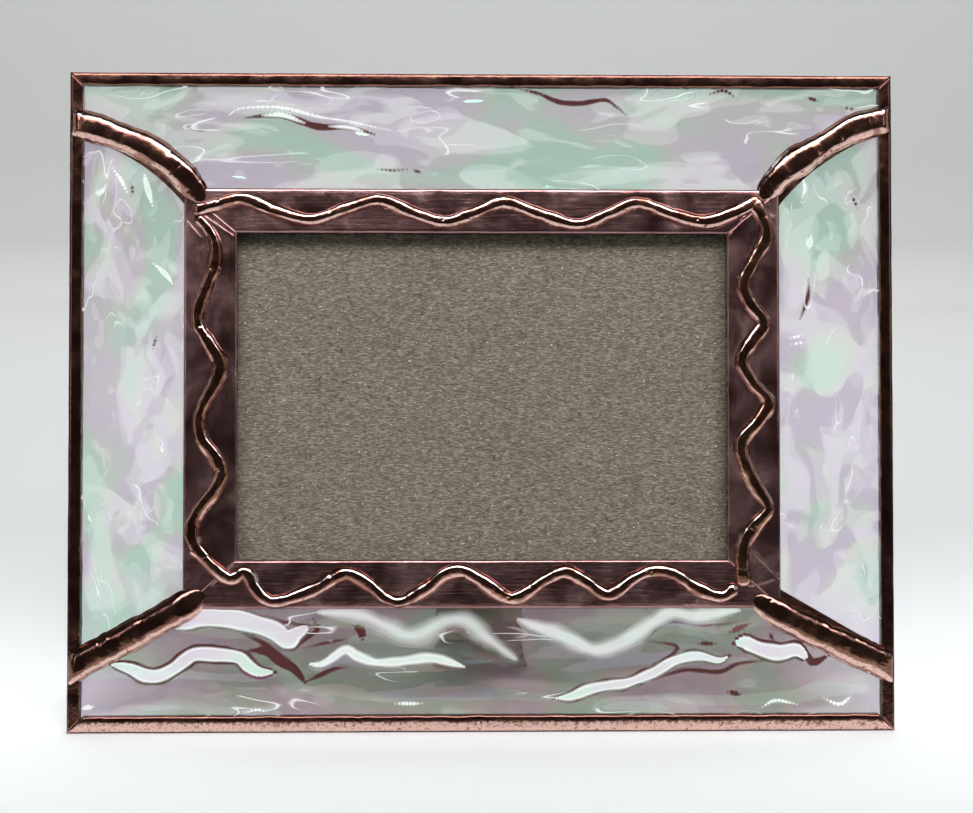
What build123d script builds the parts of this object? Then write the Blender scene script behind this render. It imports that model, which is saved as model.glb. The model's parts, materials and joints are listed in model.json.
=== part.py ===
"""Photo frame of copper-foiled glass: a leaning soldered panel, a picture pocket and a folding leg.

Everything is drawn flat in the panel's own coordinates: x to the right, y from the viewer to the back,
z up along the panel from its bottom edge.  stand_up() then leans it back and sets it on the table.
"""

import os
from math import cos, radians, sin, tan

from build123d import *

# ---- panel: sizes are millimetres and degrees -------------------------------------------------
panel_w = 247.0  # outside width, rim to rim
panel_h = 197.0  # outside height along the panel
lean = 12.0  # how far the panel leans back when it stands
glass_t = 3.0  # thickness of every soldered glass piece
foil_t = 0.15  # copper tape with its tinning
tape_w = 9.5  # width of the copper tape
seam_gap = 0.5  # glass to glass across a seam, two foils and the solder between them
lap = (tape_w - glass_t) / 2  # how far the tape folds over each face

# ---- window and the foil-covered strips around it ------------------------------------------------
window_w = 147.0
window_h = 98.0
window_mid_z = 99.9  # height of the window's middle on the panel
side_strip_w = 12.0
top_strip_w = 9.5
bottom_strip_w = 10.6
coat_t = 0.3  # flat solder floated over the front of the strips

# ---- solder ---------------------------------------------------------------------------------------
rim_out = 0.6  # solder outside the foil around the panel's edge
rim_rise = 0.55  # solder above the foil on the rim's faces
rim_round = 1.4  # rounding of the rim's outer corners
rim_soft = 0.3  # rounding where the rim ends on the glass
filed_off = 0.15  # filed from the bottom rim so that it stands flat
seam_rise = 1.7  # crown of the corner seams at the front
back_seam_rise = 0.7  # lower, flatter seams at the back
ripple_w = 4.3  # decorative bead on the strips
ripple_rise = 1.4

# ---- corner seams: height where each one meets the panel's edge, and its bow ----------------------
seam_edge_z = {"top_left": 182.0, "top_right": 184.0, "bottom_left": 18.6, "bottom_right": 18.4}
seam_bow = {"top_left": 3.9, "top_right": 3.7, "bottom_left": 0.0, "bottom_right": 0.0}
seam_from_edge = 1.5  # the bead starts this far inside the panel's edge

# ---- decorative bead: the points (x, z) where it turns back; each run is cut at the mitres --------
ripple_turns = {
    "top": [(-97, 156.8), (-71.5, 158.9), (-50.9, 152.7), (-31.4, 158.7), (-11.3, 152.1), (6.2, 158.1),
            (28.3, 151.2), (46.6, 158.0), (66.9, 152.0), (88.0, 159.0)],
    "right": [(82.5, 167.0), (85.5, 148.2), (78.2, 133.8), (84.5, 122.8), (77.7, 111.0), (86.0, 98.4),
              (77.6, 86.7), (85.9, 66.5), (77.6, 52.0), (80.5, 38.0)],
    "bottom": [(89.0, 46.5), (70.9, 39.8), (54.0, 47.9), (37.5, 40.5), (24.8, 47.7), (8.8, 39.4),
               (-6.3, 48.0), (-24.6, 39.0), (-40.0, 47.2), (-61.0, 39.0), (-81.0, 48.5)],
    "left": [(-73.5, 42.0), (-86.5, 60.7), (-77.7, 77.2), (-84.7, 92.5), (-78.1, 109.7), (-85.4, 122.4),
             (-79.8, 143.0), (-84.5, 166.0)],
}

# ---- picture pocket behind the window ----------------------------------------------------------------
picture_w = 152.4
picture_h = 101.6
pane_t = 2.0
board_t = 1.6
board_over = 6.0  # the board stands this far above the pane, still hidden by the top strip
thumb_r = 8.0
thumb_rise = 2.7  # centre of the notch above the board's top edge
channel_wall = 0.7
front_flange = 2.0
back_flange = 5.0
side_play = 0.4  # pane and board to the channel's web
pane_gap = 0.1  # pane to the front flange
board_gap = 0.15  # board to the pane
board_play = 0.25  # board to the back flange
foot_play = 0.05  # pane and board above the bottom channel's web

# ---- hinge and leg -----------------------------------------------------------------------------------
brace_t = 1.2
brace_below = 4.5  # brace below the hinge line
brace_over_heel = 1.5  # brace above the heel of the open leg
hinge_z = 127.0  # height of the hinge line on the panel
knuckle_r = 2.2
pin_r = 1.25
pin_play = 0.05  # radial, pin to every knuckle
fixed_knuckle = 9.0
leg_knuckle = 12.0
knuckle_gap = 0.3
pin_head_in = 0.2  # radius of the pin's heads, less than the knuckles'
pin_head_t = 0.8
fillet_reach = 1.5  # how far the solder under a knuckle stands off the plate
fillet_half = 2.6  # half the height of that solder
leg_t = 1.2
leg_top_w = 16.0
leg_foot_w = 34.0
leg_open = 25.0  # angle between the panel and the open leg
leg_spare = 30.0  # the strip is drawn this much too long, then cut at the table
heel_play = 0.1  # heel to the brace when the leg is open
joint_bead_w = 3.0  # solder that holds the brace to each side channel
joint_bead_rise = 0.9

# ---- planes and edges that follow from them -----------------------------------------------------------
front_foil = -foil_t
back_foil = glass_t + foil_t
coat_front = front_foil - coat_t
glass_half = panel_w / 2 - rim_out - foil_t
glass_bottom = rim_out + foil_t
glass_top = panel_h - rim_out - foil_t
window_bottom = window_mid_z - window_h / 2
window_top = window_mid_z + window_h / 2
mat_half = window_w / 2 + side_strip_w  # outer edge of the strips
mat_bottom = window_bottom - bottom_strip_w
mat_top = window_top + top_strip_w
face_over = seam_gap + lap  # the flat coat also covers the laps of the glass around it

flange_front = back_foil
pane_front = flange_front + channel_wall + pane_gap
pane_back = pane_front + pane_t
board_front = pane_back + board_gap
board_back = board_front + board_t
flange_back = board_back + board_play  # inner face of the back flange
pocket_back = flange_back + channel_wall
picture_bottom = window_mid_z - picture_h / 2
web_half = picture_w / 2 + side_play
channel_half = web_half + channel_wall
channel_low = picture_bottom - foot_play - channel_wall
channel_top = picture_bottom + picture_h

brace_back = pocket_back + brace_t
hinge_y = brace_back + knuckle_r
leg_front = hinge_y + knuckle_r
fixed_start = leg_knuckle / 2 + knuckle_gap
fixed_end = fixed_start + fixed_knuckle
heel = knuckle_r / tan(radians(leg_open / 2)) - heel_play
brace_above = heel + brace_over_heel
pin_head_r = knuckle_r - pin_head_in

seam_w = 2 * lap + seam_gap  # a seam covers both laps and the gap between
rim_back = back_foil + rim_rise
rim_reach = rim_out + foil_t + lap  # how far the rim comes in from the panel's edge
tilt_cos, tilt_sin = cos(radians(lean)), sin(radians(lean))
# lowest rounded corner of the bottom rim once the panel leans back
corner_y = (rim_back - rim_round) * tilt_cos + rim_round * tilt_sin
corner_z = rim_round * tilt_cos - (rim_back - rim_round) * tilt_sin - rim_round
far = 400.0  # longer than anything here, for cutting tools
past = 1.0  # a cutter runs this far past what it cuts


# ---- helpers -------------------------------------------------------------------------------------------
def slab(face, front, back):
    """A flat outline in (x, z), given thickness from y = front to y = back."""
    return extrude(Plane.XZ.offset(-back) * face, back - front)


def rectangle(x0, z0, x1, z1):
    return make_face(Polyline((x0, z0), (x1, z0), (x1, z1), (x0, z1), close=True))


def box(x, y, z):
    """A block between two values on each axis."""
    middle = [(pair[0] + pair[1]) / 2 for pair in (x, y, z)]
    return Pos(*middle) * Box(x[1] - x[0], y[1] - y[0], z[1] - z[0])


def stand_up(solid):
    """From the panel's coordinates to the standing frame, with the filed bottom rim on z = 0."""
    return Pos(0, -corner_y, -corner_z - filed_off) * Rot(X=-lean) * solid


def above_table(solid):
    """What is left above the table of a piece that is still in the panel's coordinates."""
    kept = stand_up(solid) & box((-far, far), (-far, far), (0, far))
    return Rot(X=lean) * Pos(0, corner_y, corner_z + filed_off) * kept


def biggest(shape):
    return max(shape.solids(), key=lambda s: s.volume)


def bead(path, plane_y, width, rise, to_back=False):
    """Solder with a domed section, run along a path that lies in the panel's plane."""
    out = Vector(0, 1 if to_back else -1, 0)
    start = path @ 0
    along = path % 0
    section = make_face([ThreePointArc((-width / 2, 0), (0, rise), (width / 2, 0)),
                         Line((width / 2, 0), (-width / 2, 0))])
    seat = Plane(origin=start, x_dir=out.cross(along), z_dir=along)
    return Pos(0, plane_y, 0) * sweep(seat * section, path=path)


def on_panel(point):
    return Vector(point[0], 0, point[1])


# ---- outlines ------------------------------------------------------------------------------------------
def corner_points(name):
    """Where a corner seam leaves the panel's edge, and the corner of the strips that it runs to."""
    side = -1 if name.endswith("left") else 1
    inner_z = mat_top + seam_gap / 2 if name.startswith("top") else mat_bottom - seam_gap / 2
    return (side * panel_w / 2, seam_edge_z[name]), (side * (mat_half + seam_gap / 2), inner_z)


def bow_point(start, end, bow):
    """The middle of a seam, raised from its chord by bow."""
    chord = Vector(end[0] - start[0], end[1] - start[1])
    up = Vector(-chord.Y, chord.X).normalized() * (1 if chord.X > 0 else -1)
    return ((start[0] + end[0]) / 2 + up.X * bow, (start[1] + end[1]) / 2 + up.Y * bow)


def seam_line(name):
    """A corner seam's middle line, as a flat edge in (x, z)."""
    start, end = corner_points(name)
    if seam_bow[name]:
        return ThreePointArc(start, bow_point(start, end, seam_bow[name]), end)
    return Line(start, end)


def seam_cut(name):
    """The gap that a corner seam leaves between two border pieces, run past both of its ends."""
    line = seam_line(name)
    outward = line @ 0 - (line % 0) * lap
    inward = line @ 1 + (line % 1) * lap
    return trace(Line(outward, line @ 0) + line + Line(line @ 1, inward), seam_gap)


def border_outlines():
    """The four border pieces, in plan: the border, cut along the four corner seams."""
    whole = rectangle(-glass_half, glass_bottom, glass_half, glass_top)
    inside = rectangle(-mat_half - seam_gap, mat_bottom - seam_gap, mat_half + seam_gap, mat_top + seam_gap)
    faces = (whole - inside - [seam_cut(name) for name in seam_edge_z]).faces()
    faces = sorted(faces, key=lambda f: f.area, reverse=True)[:4]
    return {"left": min(faces, key=lambda f: f.center().X), "right": max(faces, key=lambda f: f.center().X),
            "bottom": min(faces, key=lambda f: f.center().Y), "top": max(faces, key=lambda f: f.center().Y)}


def ring_corners(half, low, high):
    """Corners of a rectangle, left ones first, bottom before top."""
    return [(-half, low), (-half, high), (half, low), (half, high)]


def ring_piece(side, inner, outer):
    """One side of a mitred rectangular ring; inner and outer are (half width, bottom, top)."""
    ends = {"left": (0, 1), "right": (2, 3), "bottom": (0, 2), "top": (1, 3)}[side]
    near, wide = ring_corners(*inner), ring_corners(*outer)
    first, last = ends
    return make_face(Polyline(near[first], near[last], wide[last], wide[first], close=True))


def mitre_gaps(inner, outer):
    """The gaps at a ring's four mitres, run past both ends."""
    gaps = []
    for near, wide in zip(ring_corners(*inner), ring_corners(*outer)):
        mitre = Line(near, wide)
        along = mitre % 0
        gaps.append(trace(Line(mitre @ 0 - along * past, mitre @ 1 + along * past), seam_gap))
    return gaps


window_ring = (window_w / 2, window_bottom, window_top)
core_ring = (window_w / 2 + foil_t, window_bottom - foil_t, window_top + foil_t)
mat_ring = (mat_half, mat_bottom, mat_top)
face_ring = (mat_half + face_over, mat_bottom - face_over, mat_top + face_over)
edge_ring = (panel_w / 2, 0.0, panel_h)
rim_ring = (panel_w / 2 - 2 * rim_reach, 2 * rim_reach, panel_h - 2 * rim_reach)
seam_reach = panel_w / 2 - seam_from_edge
seam_limits = (-seam_reach, seam_from_edge, seam_reach, panel_h - seam_from_edge)


# ---- glass, tape and strips ----------------------------------------------------------------------------
def tape_around(outline, bare_front=True):
    """Copper tape folded round a piece of glass; without bare_front it covers the whole front."""
    wrap = slab(offset(outline, foil_t, kind=Kind.INTERSECTION), front_foil, back_foil)
    hole = offset(outline, -lap, kind=Kind.INTERSECTION)
    hole_front = front_foil - past if bare_front else glass_t
    return wrap - slab(outline, 0, glass_t) - slab(hole, hole_front, back_foil + past)


def strip_outline(side):
    pieces = ring_piece(side, core_ring, mat_ring) - mitre_gaps(core_ring, mat_ring)
    return max(pieces.faces(), key=lambda f: f.area)


# ---- solder --------------------------------------------------------------------------------------------
def rim(side):
    """Solder round the panel's edge: over the tape's laps and round the outside."""
    along = panel_h if side in ("left", "right") else panel_w
    bar = box((-along / 2, along / 2), (front_foil - rim_rise, rim_back), (0, rim_reach))
    lengthwise = bar.edges().filter_by(Axis.X)
    bar = fillet(lengthwise.group_by(Axis.Z)[0], rim_round)
    bar = fillet(bar.edges().filter_by(Axis.X).group_by(Axis.Z)[-1], rim_soft)
    bar -= box((-along, along), (front_foil, back_foil), (rim_out, rim_reach + past))
    turn = {"bottom": 0, "right": 1, "top": 2, "left": 3}[side]
    half_way = (panel_h if side in ("top", "bottom") else panel_w) / 2
    bar = Pos(0, 0, panel_h / 2) * Rot(Y=-90 * turn) * Pos(0, 0, -half_way) * bar
    return above_table(bar & slab(ring_piece(side, rim_ring, edge_ring), -far, far))


def corner_seam(name, to_back, rims):
    """A corner seam, from the rim to the corner of the soldered strips."""
    line = Plane.XZ * seam_line(name)
    if to_back:
        run = bead(line, back_foil, seam_w, back_seam_rise, True)
    else:
        run = bead(line, front_foil, seam_w, seam_rise)
    half, low, high = face_ring
    run &= slab(rectangle(*seam_limits), -far, far)
    run -= slab(rectangle(-half, low, half, high), -far, far)
    for rim_side in rims:
        run -= rim_side
    return biggest(run)


def back_ring_seam(side):
    """The low seam between the strips and the border, at the back, mitred at its corners."""
    middle = (mat_half + seam_gap / 2, mat_bottom - seam_gap / 2, mat_top + seam_gap / 2)
    reach = seam_w / 2 + past
    corners = [on_panel(corner) for corner in ring_corners(*middle)]
    start, end = {"left": (0, 1), "right": (2, 3), "bottom": (0, 2), "top": (1, 3)}[side]
    line = Line(corners[start], corners[end])
    line = Line(line @ 0 - (line % 0) * reach, line @ 1 + (line % 1) * reach)
    inner = (middle[0] - reach, middle[1] + reach, middle[2] - reach)
    outer = (middle[0] + reach, middle[1] - reach, middle[2] + reach)
    run = bead(line, back_foil, seam_w, back_seam_rise, True)
    return run & slab(ring_piece(side, inner, outer), -far, far)


def ripple_path(turns, along):
    """Two tangent arcs from each turning point to the next, each leaving parallel to the side."""
    edges = []
    for here, there in zip(turns, turns[1:]):
        a, b = on_panel(here), on_panel(there)
        middle = (a + b) / 2
        ahead = along * (1 if (b - a).dot(along) > 0 else -1)
        first = TangentArc(a, middle, tangent=ahead)
        edges += [first, TangentArc(middle, b, tangent=first % 1)]
    return Wire(edges)


def ripple(side):
    """The wavy bead along one side of the window, cut at the mitres."""
    along = Vector(1, 0, 0) if side in ("top", "bottom") else Vector(0, 0, 1)
    run = bead(ripple_path(ripple_turns[side], along), coat_front, ripple_w, ripple_rise)
    return biggest(run & slab(ring_piece(side, window_ring, face_ring), -far, far))


# ---- picture pocket ------------------------------------------------------------------------------------
def channel_section():
    """J section: x = 0 is the web's outer face and the flanges run to +x; y is the depth."""
    back = pocket_back
    points = [(0, flange_front), (front_flange, flange_front), (front_flange, flange_front + channel_wall),
              (channel_wall, flange_front + channel_wall), (channel_wall, flange_back),
              (back_flange, flange_back), (back_flange, back), (0, back)]
    return make_face(Polyline(*points, close=True))


def channel(side):
    """Left, right or bottom channel, mitred at the two bottom corners."""
    bar = extrude(channel_section(), picture_w, both=True)
    if side == "bottom":
        bar = Pos(0, 0, channel_low) * Rot(Y=-90) * bar
        outline = [(-channel_half, channel_low), (channel_half, channel_low),
                   (0, channel_low + channel_half)]
    else:
        out = -1 if side == "left" else 1
        bar = Pos(-channel_half, 0, window_mid_z) * bar
        bar = bar if side == "left" else mirror(bar, about=Plane.YZ)
        outline = [(out * channel_half, channel_low), (out * channel_half, channel_top),
                   (0, channel_top), (0, channel_low + channel_half)]
    return bar & slab(make_face(Polyline(*outline, close=True)), -far, far)


def window_pane():
    return box((-picture_w / 2, picture_w / 2), (pane_front, pane_back), (picture_bottom, channel_top))


def picture_board():
    """Greyboard backing with a thumb notch in its top edge."""
    top = channel_top + board_over
    outline = rectangle(-picture_w / 2, picture_bottom, picture_w / 2, top)
    outline -= Pos(0, top + thumb_rise) * Circle(thumb_r)
    return slab(outline, board_front, board_back)


# ---- hinge and leg -------------------------------------------------------------------------------------
def brace():
    """Flat bar soldered across both side channels, behind the board."""
    height = (hinge_z - brace_below, hinge_z + brace_above)
    return box((-channel_half, channel_half), (pocket_back, brace_back), height)


def brace_joints():
    """Four short beads of solder, above and below each end of the brace, on the channels' back flanges."""
    beads = []
    for x in (-channel_half + joint_bead_w / 2, channel_half - joint_bead_w / 2):
        for z, out in ((hinge_z - brace_below, -1), (hinge_z + brace_above, 1)):
            round_bar = Pos(x, pocket_back, z) * Rot(Y=90) * Cylinder(joint_bead_rise, joint_bead_w)
            beside = sorted((z, z + out * joint_bead_rise))
            corner = box((x - joint_bead_w, x + joint_bead_w), (pocket_back, brace_back), beside)
            beads.append(biggest(round_bar & corner))
    return Compound(children=beads)


def along_hinge(x0, x1, radius):
    middle = (x0 + x1) / 2
    return Pos(middle, hinge_y, hinge_z) * Rot(Y=90) * Cylinder(radius, x1 - x0)


def knuckle(x0, x1):
    return along_hinge(x0, x1, knuckle_r) - along_hinge(x0 - past, x1 + past, pin_r + pin_play)


def hinge_pin():
    """Rod through all three knuckles, with a peened head at each end."""
    end = fixed_end + knuckle_gap
    pin = along_hinge(-end, end, pin_r)
    for side in (-1, 1):
        pin += along_hinge(*sorted((side * end, side * (end + pin_head_t))), pin_head_r)
    return pin


def under_knuckle(x0, x1, plate_y, toward):
    """Solder on both sides of the line where a knuckle touches a plate."""
    y0, y1 = sorted((plate_y, plate_y + toward * fillet_reach))
    block = box((x0, x1), (y0, y1), (hinge_z - fillet_half, hinge_z + fillet_half))
    return block - along_hinge(x0 - past, x1 + past, knuckle_r)


def hinge_solder():
    solids = under_knuckle(-fixed_end, -fixed_start, brace_back, 1).solids()
    solids += under_knuckle(fixed_start, fixed_end, brace_back, 1).solids()
    return Compound(children=list(solids))


def swing_open(solid):
    """From folded flat against the panel to its open, standing angle."""
    return Pos(0, hinge_y, hinge_z) * Rot(X=leg_open) * Pos(0, -hinge_y, -hinge_z) * solid


def leg():
    """Tapered strip. Its heel meets the brace when open; its foot is cut level with the table."""
    top = hinge_z + heel
    outline = make_face(Polyline((-leg_top_w / 2, top), (leg_top_w / 2, top), (leg_foot_w / 2, -leg_spare),
                                 (-leg_foot_w / 2, -leg_spare), close=True))
    strip = slab(outline, leg_front, leg_front + leg_t)
    return biggest(above_table(swing_open(strip)))


def leg_hinge_solder():
    beads = under_knuckle(-leg_knuckle / 2, leg_knuckle / 2, leg_front, -1).solids()
    return Compound(children=[swing_open(bead_solid) for bead_solid in beads])


# ---- build ---------------------------------------------------------------------------------------------
sides = ("top", "bottom", "left", "right")
parts = {}

for side, outline in border_outlines().items():
    parts[f"glass_{side}"] = slab(outline, 0, glass_t)
    parts[f"foil_{side}"] = tape_around(outline)

for side in sides:
    parts[f"strip_core_{side}"] = slab(strip_outline(side), 0, glass_t)
    parts[f"strip_foil_{side}"] = tape_around(strip_outline(side), bare_front=False)
    parts[f"strip_face_{side}"] = slab(ring_piece(side, window_ring, face_ring), coat_front, front_foil)
    parts[f"ripple_bead_{side}"] = ripple(side)
    parts[f"rim_{side}"] = rim(side)
    parts[f"back_ring_seam_{side}"] = back_ring_seam(side)

rims = [parts[f"rim_{side}"] for side in sides]
for name in seam_edge_z:
    parts[f"front_seam_{name}"] = corner_seam(name, False, rims)
    parts[f"back_seam_{name}"] = corner_seam(name, True, rims)

for side in ("left", "right", "bottom"):
    parts[f"channel_{side}"] = channel(side)
parts["window_pane"] = window_pane()
parts["picture_board"] = picture_board()

parts["brace"] = brace()
parts["brace_joints"] = brace_joints()
parts["knuckle_left"] = knuckle(-fixed_end, -fixed_start)
parts["knuckle_right"] = knuckle(fixed_start, fixed_end)
parts["hinge_solder"] = hinge_solder()
parts["hinge_pin"] = hinge_pin()
parts["leg_knuckle"] = knuckle(-leg_knuckle / 2, leg_knuckle / 2)
parts["leg"] = leg()
parts["leg_hinge_solder"] = leg_hinge_solder()

os.makedirs("parts", exist_ok=True)
for name, solid in parts.items():
    export_step(stand_up(solid), f"parts/{name}.step")
hinge = stand_up(Pos(0, hinge_y, hinge_z) * Sphere(1)).center()
print(f"{len(parts)} nodes; hinge line at y {hinge.Y:.4f}, z {hinge.Z:.4f}")
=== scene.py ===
# %% [markdown]
# # A photo frame of copper-foiled wavy glass
#
# Four wavy, iridescent glasses and four taped strips are soldered into one leaning panel with a window.
# The CAD model already holds every piece at its size, so this lesson only changes how the pieces look.
# It replaces the pieces that a hand has shaped, the glass and the solder, and paints the rest.

# %% Load the frame
import json
import math

import bmesh
import bpy
import numpy as np
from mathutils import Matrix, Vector


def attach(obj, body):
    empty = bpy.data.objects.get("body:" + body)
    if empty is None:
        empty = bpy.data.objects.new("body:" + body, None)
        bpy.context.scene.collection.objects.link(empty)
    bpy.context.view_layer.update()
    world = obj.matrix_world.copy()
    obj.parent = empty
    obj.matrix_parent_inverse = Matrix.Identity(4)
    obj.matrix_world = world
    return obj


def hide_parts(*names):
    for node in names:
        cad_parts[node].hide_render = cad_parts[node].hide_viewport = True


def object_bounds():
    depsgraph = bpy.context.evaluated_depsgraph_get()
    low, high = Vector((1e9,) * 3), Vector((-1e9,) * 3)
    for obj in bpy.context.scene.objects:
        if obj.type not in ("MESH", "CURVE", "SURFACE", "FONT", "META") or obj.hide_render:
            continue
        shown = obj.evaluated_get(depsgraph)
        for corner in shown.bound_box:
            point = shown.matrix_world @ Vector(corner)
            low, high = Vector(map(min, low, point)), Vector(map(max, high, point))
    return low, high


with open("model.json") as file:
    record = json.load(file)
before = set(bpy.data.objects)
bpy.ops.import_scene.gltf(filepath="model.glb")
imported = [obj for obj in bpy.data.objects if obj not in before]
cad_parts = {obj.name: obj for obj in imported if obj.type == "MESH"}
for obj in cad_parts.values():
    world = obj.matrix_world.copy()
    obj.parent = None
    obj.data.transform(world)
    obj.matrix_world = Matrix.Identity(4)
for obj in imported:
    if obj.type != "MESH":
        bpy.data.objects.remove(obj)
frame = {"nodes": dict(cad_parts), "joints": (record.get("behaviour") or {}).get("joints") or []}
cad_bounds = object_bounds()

nodes = frame["nodes"]
SIDES = ("top", "bottom", "left", "right")
CORNERS = ("top_left", "top_right", "bottom_left", "bottom_right")

# %% [markdown]
# ## Work in the panel's own directions
#
# The panel leans back, so heights along it aren't heights above the table. Drawing each piece leaned would
# be awkward. It is easier to draw in the panel's own directions, in millimetres: x to the right, y to the
# back, z up along the glass. The pane slides straight up the panel, so its joint gives that direction.

# %% The panel's directions
MM = 0.001
PANEL_H = 197.0
pane_joint = next(joint for joint in frame["joints"] if joint["name"] == "pane_slide")
UP = Vector(pane_joint["axis"]).normalized()
RIGHT = Vector((1, 0, 0))
BACK = UP.cross(RIGHT)
LEAN = math.atan2(UP.y, UP.z)
AXES = np.array([RIGHT, BACK, UP])


def raw_points(node):
    """A CAD piece's points along the three panel directions, in millimetres."""
    points = np.array([v.co for v in nodes[node].data.vertices])
    return points @ AXES.T / MM


ORIGIN = np.array([0.0, raw_points("glass_top")[:, 1].min(), raw_points("rim_top")[:, 2].max() - PANEL_H])


def panel_points(node):
    return raw_points(node) - ORIGIN


def panel_box(node):
    points = panel_points(node)
    return points.min(0), points.max(0)


def to_world(points):
    return (np.asarray(points, float) + ORIGIN) @ AXES * MM


GLASS_T = panel_box("glass_top")[1][1]
HALF_W = panel_box("rim_right")[1][0]
print(f"the panel leans {math.degrees(LEAN):.1f} degrees and is {2 * HALF_W:.0f} mm wide")

# %% [markdown]
# ## The camera
#
# The camera stands in front, a little above, and looks down so that it meets the leaning glass square on.
# A long lens from half a metre keeps the panel's edges nearly parallel, as in a product picture.

# %% Camera
LENS_IN_WIDTHS = 1.6876  # focal length over the picture's width
camera_data = bpy.data.cameras.new("camera")
camera_data.sensor_width = 36.0
camera_data.lens = LENS_IN_WIDTHS * camera_data.sensor_width
camera = bpy.data.objects.new("camera", camera_data)
bpy.context.scene.collection.objects.link(camera)
bpy.context.scene.camera = camera
front_of_rim = Vector(to_world([0, 0, 0]))
CAMERA_PLACE = (-0.0095, -0.4630, 0.1855)  # metres from the front of the bottom rim
PITCH, TURN, ROLL = math.radians(10.635), math.radians(-1.212), math.radians(-0.251)
camera.location = front_of_rim + Vector(CAMERA_PLACE)
camera.rotation_euler = (math.radians(90) - PITCH, ROLL, TURN)
print("camera", math.dist(camera.location, front_of_rim), "m from the bottom rim")

# %% [markdown]
# ## Small tools: noise and meshes
#
# Molten solder and rolled glass wander smoothly, never in a pattern. Gradient noise does that: random slopes
# on a grid of points, blended between them. Blender has it for textures, but here whole arrays of points
# need it at once, so a few lines of numpy make the same thing. A seed gives the same answer in every run.

# %% Smooth noise over arrays of points
def slope_angle(ix, iy, seed):
    """A random angle for each grid point, from whole-number arithmetic."""
    mixed = (ix * 374761393 + iy * 668265263 + seed * 982451653) & 0xFFFFFFFF
    mixed = ((mixed ^ (mixed >> 13)) * 1274126177) & 0xFFFFFFFF
    return (mixed ^ (mixed >> 16)) * (2 * math.pi / 2**32)


def wander(x, y, seed):
    """Smooth noise, about -0.7 to 0.7, with one bump or dip every unit or two."""
    x, y = np.broadcast_arrays(np.asarray(x, float), np.asarray(y, float))
    ix, iy = np.floor(x).astype(np.int64), np.floor(y).astype(np.int64)
    fx, fy = x - ix, y - iy
    fade_x, fade_y = (f * f * f * (f * (6 * f - 15) + 10) for f in (fx, fy))
    corner = {}
    for dx in (0, 1):
        for dy in (0, 1):
            angle = slope_angle(ix + dx, iy + dy, seed)
            corner[dx, dy] = np.cos(angle) * (fx - dx) + np.sin(angle) * (fy - dy)
    low = corner[0, 0] + fade_x * (corner[1, 0] - corner[0, 0])
    high = corner[0, 1] + fade_x * (corner[1, 1] - corner[0, 1])
    return low + fade_y * (high - low)


def smooth_step(low, high, value):
    t = np.clip((value - low) / (high - low), 0, 1)
    return t * t * (3 - 2 * t)


# %% [markdown]
# A piece is a list of points and faces. One helper turns them into a Blender object, gives it its material,
# hangs it on the CAD body that it moves with, and hides the CAD piece that it stands for.

# %% Make a piece
def add_piece(name, points, faces, material, body="frame", replaces=()):
    mesh = bpy.data.meshes.new(name)
    mesh.from_pydata(to_world(points).tolist(), [], [list(map(int, face)) for face in faces])
    mesh.validate()
    mesh.shade_smooth()
    mesh.materials.append(material)
    piece = bpy.data.objects.new(name, mesh)
    bpy.context.scene.collection.objects.link(piece)
    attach(piece, body)
    if replaces:
        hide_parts(*replaces)
    return piece


def grid_faces(rows, columns, first=0, flip=False):
    """Quads of a grid whose points are numbered row by row."""
    r, c = np.meshgrid(np.arange(rows - 1), np.arange(columns - 1), indexing="ij")
    a = (first + r * columns + c).ravel()
    quads = np.stack([a, a + 1, a + 1 + columns, a + columns], 1)
    return quads[:, ::-1] if flip else quads


# %% [markdown]
# ## Materials
#
# Each material is a small node tree. Textures read the object's own coordinates, turned by the lean, so that
# "along" and "up" in a texture are along and up the panel. Sizes are given in millimetres and turned into
# noise scales by one helper.

# %% Node helpers
BLACK, WHITE = (0, 0, 0), (1, 1, 1)


def grey(level):
    return (level, level, level)


def between(a, b, share):
    """A colour between a and b."""
    return tuple((1 - share) * x + share * y for x, y in zip(a, b))


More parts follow.
